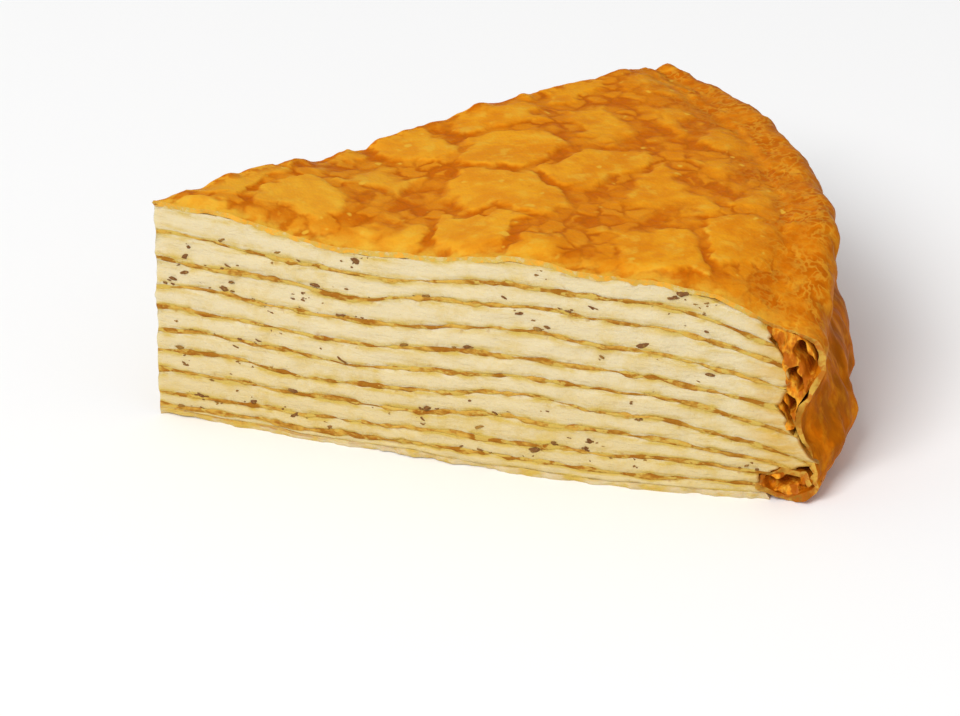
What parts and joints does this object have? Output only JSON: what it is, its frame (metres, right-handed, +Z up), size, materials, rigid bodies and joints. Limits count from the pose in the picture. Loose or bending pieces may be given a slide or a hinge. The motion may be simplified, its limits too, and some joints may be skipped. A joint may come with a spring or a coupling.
{
  "type": "crepe layer cake slice",
  "caption": "Wedge slice of crepe layer cake: thin crepes with speckled cream between them under a browned top crepe that rolls over the round rim and is tucked under the base.",
  "frame": {"origin": "middle of the slice's box, on the surface that it stands on", "axes": "+X from the tip towards the round rim, +Z up, +Y to the left cut face seen from the tip"},
  "size_m": [0.1086, 0.0986, 0.038],
  "materials": {
    "browned_crepe": "satin",
    "crepe": "satin",
    "cream": "satin"
  },
  "bodies": {
    "root": {"crepe_top": "browned_crepe", "crepe_01": "crepe", "crepe_02": "crepe", "crepe_03": "crepe", "crepe_04": "crepe", "crepe_05": "crepe", "crepe_06": "crepe", "crepe_07": "crepe", "crepe_08": "crepe", "crepe_09": "crepe", "crepe_base": "crepe", "cream_01": "cream", "cream_02": "cream", "cream_03": "cream", "cream_04": "cream", "cream_05": "cream", "cream_06": "cream", "cream_07": "cream", "cream_08": "cream", "cream_09": "cream", "cream_10": "cream"}
  },
  "joints": []
}
